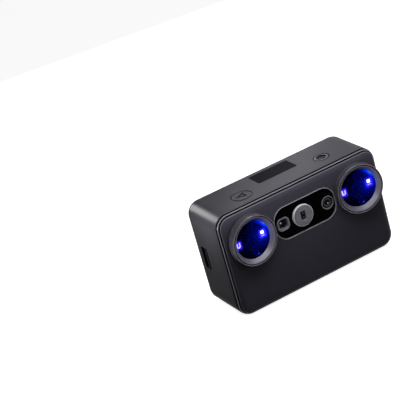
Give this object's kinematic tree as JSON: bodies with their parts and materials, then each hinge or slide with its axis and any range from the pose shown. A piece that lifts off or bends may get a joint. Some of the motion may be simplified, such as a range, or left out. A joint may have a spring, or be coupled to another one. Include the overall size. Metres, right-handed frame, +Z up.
{
  "type": "handheld three-d scanner",
  "caption": "Rounded handheld 3D scanner with toed-in lens rings, a sensor window, rear screen, sprung top buttons, hinged side hatch and a tripod thread.",
  "frame": {"origin": "centre of the tripod thread's mouth in the bottom face", "axes": "+X to the right of the front, +Y rearward, +Z up"},
  "size_m": [0.12, 0.0518, 0.0716],
  "materials": {
    "frame_plastic": "fine spark texture",
    "front_plastic": "fine spark texture",
    "trim_plastic": "satin",
    "bezel_plastic": "fine spark texture",
    "pad_plastic": "fine spark texture",
    "black_plastic": "matte",
    "label_film": "satin",
    "screen_glass": "polished",
    "window_glass": "polished",
    "lens_glass": "polished",
    "ring_aluminium": "turned and anodised",
    "bezel_aluminium": "blasted",
    "bench_aluminium": "milled",
    "steel": "bright",
    "black_steel": "blackened",
    "brass_contact": "gold plated",
    "board_green": "solder resist",
    "cell_wrap": "shrink film",
    "lamp_blue": "lit",
    "lamp_white": "diffusing"
  },
  "bodies": {
    "case": {"middle_frame": "frame_plastic", "front_trim": "trim_plastic", "front_cover": "front_plastic", "rear_trim": "trim_plastic", "rear_bezel": "bezel_plastic", "screen_glass": "screen_glass", "display_module": "black_plastic", "base_pad": "pad_plastic", "case_screws": "black_steel", "tripod_insert": "steel", "rating_label": "label_film", "serial_label": "label_film", "top_window": "screen_glass", "antenna_board": "board_green", "scan_spring": "steel", "power_spring": "steel", "button_board": "board_green", "button_switches": "black_plastic", "usb_port": "steel", "usb_board": "board_green", "charge_indicators": "lamp_white", "hatch_pin": "steel", "strap_bar": "steel", "speaker": "black_plastic", "battery_tray": "black_plastic", "battery_pack": "cell_wrap", "battery_contacts": "brass_contact", "main_board": "board_green", "heat_sink": "bench_aluminium", "optical_bench": "bench_aluminium", "frame_screws": "black_steel", "left_lens_ring": "ring_aluminium", "right_lens_ring": "ring_aluminium", "left_lens_window": "window_glass", "right_lens_window": "window_glass", "left_lamp_board": "black_plastic", "right_lamp_board": "black_plastic", "left_blue_lamps": "lamp_blue", "right_blue_lamps": "lamp_blue", "left_camera_barrel": "black_plastic", "right_camera_barrel": "black_plastic", "left_camera_lens": "lens_glass", "right_camera_lens": "lens_glass", "left_camera_board": "board_green", "right_camera_board": "board_green", "window_bezel": "bezel_aluminium", "sensor_window": "screen_glass", "projector_bezel": "bezel_aluminium", "projector_lens": "lens_glass", "projector_module": "black_plastic", "colour_camera": "bezel_aluminium", "colour_camera_lens": "lens_glass", "fill_light_bezel": "bezel_aluminium", "fill_light": "lamp_white"},
    "hatch": {"side_hatch": "frame_plastic", "latch_spring": "steel"},
    "latch": {"hatch_latch": "trim_plastic"},
    "scan": {"scan_button": "frame_plastic"},
    "power": {"power_button": "frame_plastic"}
  },
  "joints": [
    {"name": "hatch_turn", "type": "hinge", "parent": "case", "child": "hatch", "pos_m": [0.0557, 0, 0.0034], "axis": [0, 1, 0], "range_deg": [0, 75]},
    {"name": "latch_slide", "type": "slide", "parent": "hatch", "child": "latch", "axis": [0, 0, -1], "range_m": [0, 0.0015], "stiffness_N_per_m": 400, "deforming": ["latch_spring"]},
    {"name": "scan_press", "type": "slide", "parent": "case", "child": "scan", "axis": [0, 0, -1], "range_m": [0, 0.0008], "stiffness_N_per_m": 1500, "deforming": ["scan_spring"]},
    {"name": "power_press", "type": "slide", "parent": "case", "child": "power", "axis": [0, 0, -1], "range_m": [0, 0.0008], "stiffness_N_per_m": 1500, "deforming": ["power_spring"]}
  ]
}
